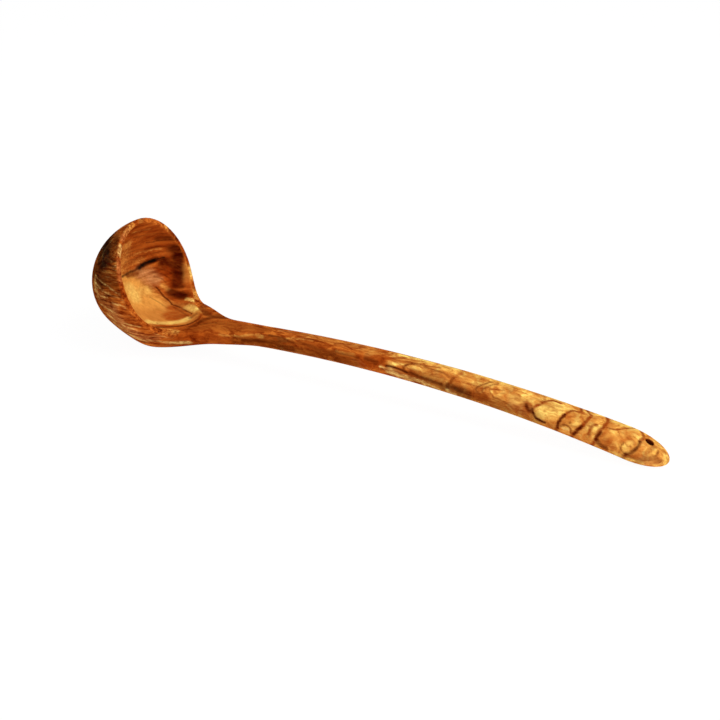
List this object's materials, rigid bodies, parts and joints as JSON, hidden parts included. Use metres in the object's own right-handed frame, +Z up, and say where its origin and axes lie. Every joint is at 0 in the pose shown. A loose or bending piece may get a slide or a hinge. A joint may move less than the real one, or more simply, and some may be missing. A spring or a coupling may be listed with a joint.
{
  "type": "wooden ladle",
  "caption": "One-piece carved wooden ladle with a deep tilted bowl, a shallow throat at the neck and an arched handle that ends in a round nose with a hanging hole.",
  "frame": {"origin": "on the table under the middle of the ladle's length, in its mirror plane", "axes": "+X from the bowl along the handle, +Z up from the table the ladle lies on, +Y to the left seen from the handle's end"},
  "size_m": [0.3358, 0.0762, 0.0697],
  "materials": {
    "olive_wood": "oiled satin"
  },
  "bodies": {
    "root": {"bowl": "olive_wood", "handle": "olive_wood"}
  },
  "joints": []
}
